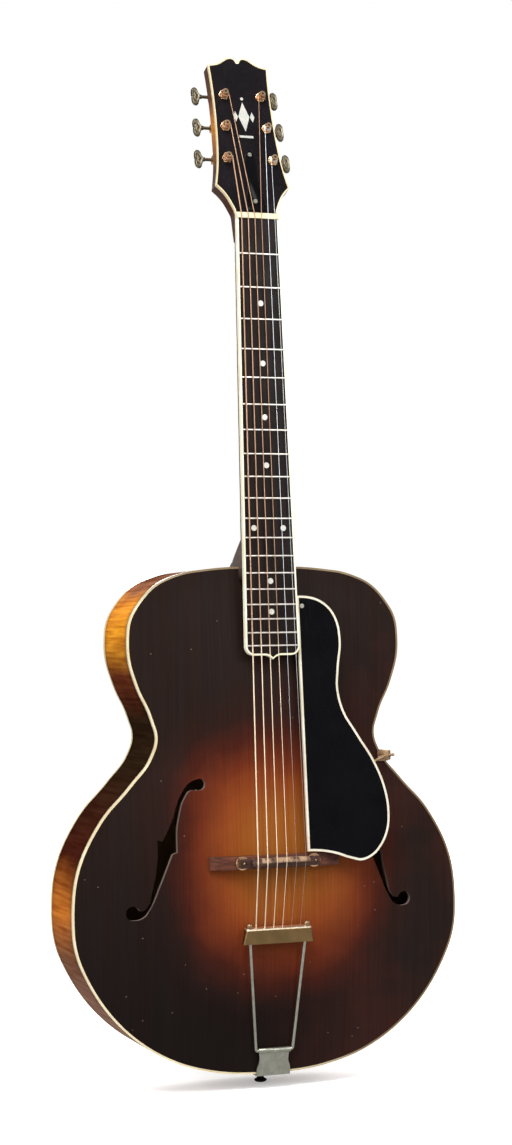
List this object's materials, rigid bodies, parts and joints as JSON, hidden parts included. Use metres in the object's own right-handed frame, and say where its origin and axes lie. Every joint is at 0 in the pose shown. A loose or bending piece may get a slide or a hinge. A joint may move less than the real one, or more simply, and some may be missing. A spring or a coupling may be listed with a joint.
{
  "type": "archtop guitar",
  "caption": "Acoustic archtop guitar with carved arched top, f-holes, floating bridge, trapeze tailpiece, raised pickguard and geared open tuners.",
  "frame": {"origin": "on the end pin's axis, at the tail end of the rim", "axes": "+X to the treble side, +Y to the back, +Z from the tail along the body to the headstock"},
  "size_m": [0.406, 0.142, 1.0495],
  "materials": {
    "spruce_sunburst": "gloss lacquer, amber middle to dark brown edge",
    "maple_sunburst": "gloss lacquer over flamed maple",
    "inner_wood": "bare",
    "neck_wood": "gloss lacquer, dark brown",
    "ebony": "oiled",
    "bridge_wood": "oiled",
    "cream_binding": "aged gloss",
    "white_binding": "gloss",
    "bone": "polished bone",
    "pearl": "pearl",
    "black_lacquer": "gloss lacquer",
    "black_plastic": "gloss",
    "fret_nickel": "worn",
    "worn_gold": "worn plating",
    "aged_nickel": "dull plating",
    "steel": "plain",
    "bronze_string": "wound",
    "steel_string": "plain"
  },
  "bodies": {
    "guitar": {"top_plate": "spruce_sunburst", "back_plate": "maple_sunburst", "rim_bass": "maple_sunburst", "rim_treble": "maple_sunburst", "neck_block": "inner_wood", "tail_block": "inner_wood", "linings": "inner_wood", "tone_bars": "inner_wood", "top_binding": "cream_binding", "back_binding": "cream_binding", "neck": "neck_wood", "heel_cap": "black_plastic", "truss_rod": "steel", "truss_rod_cover": "black_plastic", "wood_screws": "aged_nickel", "fingerboard": "ebony", "fingerboard_binding": "cream_binding", "frets": "fret_nickel", "fret_markers": "pearl", "nut": "bone", "headstock_veneer": "black_lacquer", "headstock_binding": "cream_binding", "headstock_inlay": "pearl", "tuner_plates": "worn_gold", "tuner_bushings": "worn_gold", "bridge_base": "bridge_wood", "bridge_studs": "worn_gold", "hinge_bracket": "aged_nickel", "end_pin": "black_plastic", "pickguard": "black_plastic", "pickguard_binding": "white_binding", "pickguard_rod": "worn_gold", "pickguard_clamp": "worn_gold", "pickguard_screw": "worn_gold", "string_1": "steel_string", "string_2": "steel_string", "string_3": "bronze_string", "string_4": "bronze_string", "string_5": "bronze_string", "string_6": "bronze_string"},
    "tuner_post_1": {"tuner_post_1": "worn_gold"},
    "tuner_button_1": {"tuner_button_1": "aged_nickel"},
    "tuner_post_2": {"tuner_post_2": "worn_gold"},
    "tuner_button_2": {"tuner_button_2": "aged_nickel"},
    "tuner_post_3": {"tuner_post_3": "worn_gold"},
    "tuner_button_3": {"tuner_button_3": "aged_nickel"},
    "tuner_post_4": {"tuner_post_4": "worn_gold"},
    "tuner_button_4": {"tuner_button_4": "aged_nickel"},
    "tuner_post_5": {"tuner_post_5": "worn_gold"},
    "tuner_button_5": {"tuner_button_5": "aged_nickel"},
    "tuner_post_6": {"tuner_post_6": "worn_gold"},
    "tuner_button_6": {"tuner_button_6": "aged_nickel"},
    "saddle": {"bridge_saddle": "bridge_wood"},
    "wheel_bass": {"thumbwheel_bass": "worn_gold"},
    "wheel_treble": {"thumbwheel_treble": "worn_gold"},
    "trapeze": {"tailpiece_crossbar": "worn_gold", "tailpiece_wire": "aged_nickel", "tailpiece_nuts": "aged_nickel"},
    "truss_nut": {"truss_rod_nut": "worn_gold"},
    "clamp_nut": {"clamp_thumb_nut": "worn_gold"}
  },
  "joints": [
    {"name": "button_turn_1", "type": "hinge", "parent": "guitar", "child": "tuner_button_1", "pos_m": [0.0247, 0.00914, 0.92374], "axis": [1, 0, 0], "continuous": true},
    {"name": "post_turn_1", "type": "hinge", "parent": "guitar", "child": "tuner_post_1", "pos_m": [0.0247, -0.01321, 0.92046], "axis": [0, -0.9558, 0.294], "continuous": true},
    {"name": "button_turn_2", "type": "hinge", "parent": "guitar", "child": "tuner_button_2", "pos_m": [0.02235, 0.0199, 0.95872], "axis": [1, 0, 0], "continuous": true},
    {"name": "post_turn_2", "type": "hinge", "parent": "guitar", "child": "tuner_post_2", "pos_m": [0.02235, -0.00245, 0.95545], "axis": [0, -0.9558, 0.294], "continuous": true},
    {"name": "button_turn_3", "type": "hinge", "parent": "guitar", "child": "tuner_button_3", "pos_m": [0.02, 0.03067, 0.9937], "axis": [1, 0, 0], "continuous": true},
    {"name": "post_turn_3", "type": "hinge", "parent": "guitar", "child": "tuner_post_3", "pos_m": [0.02, 0.00832, 0.99043], "axis": [0, -0.9558, 0.294], "continuous": true},
    {"name": "button_turn_4", "type": "hinge", "parent": "guitar", "child": "tuner_button_4", "pos_m": [-0.02, 0.03067, 0.9937], "axis": [1, 0, 0], "continuous": true},
    {"name": "post_turn_4", "type": "hinge", "parent": "guitar", "child": "tuner_post_4", "pos_m": [-0.02, 0.00832, 0.99043], "axis": [0, -0.9558, 0.294], "continuous": true},
    {"name": "button_turn_5", "type": "hinge", "parent": "guitar", "child": "tuner_button_5", "pos_m": [-0.02235, 0.0199, 0.95872], "axis": [1, 0, 0], "continuous": true},
    {"name": "post_turn_5", "type": "hinge", "parent": "guitar", "child": "tuner_post_5", "pos_m": [-0.02235, -0.00245, 0.95545], "axis": [0, -0.9558, 0.294], "continuous": true},
    {"name": "button_turn_6", "type": "hinge", "parent": "guitar", "child": "tuner_button_6", "pos_m": [-0.0247, 0.00914, 0.92374], "axis": [1, 0, 0], "continuous": true},
    {"name": "post_turn_6", "type": "hinge", "parent": "guitar", "child": "tuner_post_6", "pos_m": [-0.0247, -0.01321, 0.92046], "axis": [0, -0.9558, 0.294], "continuous": true},
    {"name": "saddle_slide", "type": "slide", "parent": "guitar", "child": "saddle", "axis": [0, -1, 0], "range_m": [-0.00095, 0.00095], "deforming": ["string_1", "string_2", "string_3", "string_4", "string_5", "string_6"]},
    {"name": "wheel_turn_bass", "type": "hinge", "parent": "saddle", "child": "wheel_bass", "pos_m": [-0.0375, -0.064, 0.21227], "axis": [0, -1, 0], "range_deg": [-540, 540]},
    {"name": "wheel_turn_treble", "type": "hinge", "parent": "saddle", "child": "wheel_treble", "pos_m": [0.0375, -0.064, 0.21227], "axis": [0, -1, 0], "range_deg": [-540, 540]},
    {"name": "trapeze_swing", "type": "hinge", "parent": "guitar", "child": "trapeze", "pos_m": [0, -0.043, 0.024], "axis": [1, 0, 0], "range_deg": [-1, 3], "stiffness_Nm_per_rad": 5, "deforming": ["string_1", "string_2", "string_3", "string_4", "string_5", "string_6"]},
    {"name": "truss_nut_turn", "type": "hinge", "parent": "guitar", "child": "truss_nut", "pos_m": [0, -0.02034, 0.88088], "axis": [0, 0.0541, 0.9985], "range_deg": [-90, 90]},
    {"name": "clamp_nut_turn", "type": "hinge", "parent": "guitar", "child": "clamp_nut", "pos_m": [0.13, -0.0275, 0.31189], "axis": [1, 0, 0], "range_deg": [-180, 180]}
  ],
  "couplings": [
    {"joint": "post_turn_1", "follows": "button_turn_1", "ratio": 0.083333},
    {"joint": "post_turn_2", "follows": "button_turn_2", "ratio": 0.083333},
    {"joint": "post_turn_3", "follows": "button_turn_3", "ratio": 0.083333},
    {"joint": "post_turn_4", "follows": "button_turn_4", "ratio": 0.083333},
    {"joint": "post_turn_5", "follows": "button_turn_5", "ratio": 0.083333},
    {"joint": "post_turn_6", "follows": "button_turn_6", "ratio": 0.083333},
    {"joint": "wheel_turn_bass", "follows": "saddle_slide", "rad_per_m": 8976},
    {"joint": "wheel_turn_treble", "follows": "saddle_slide", "rad_per_m": 8976}
  ]
}
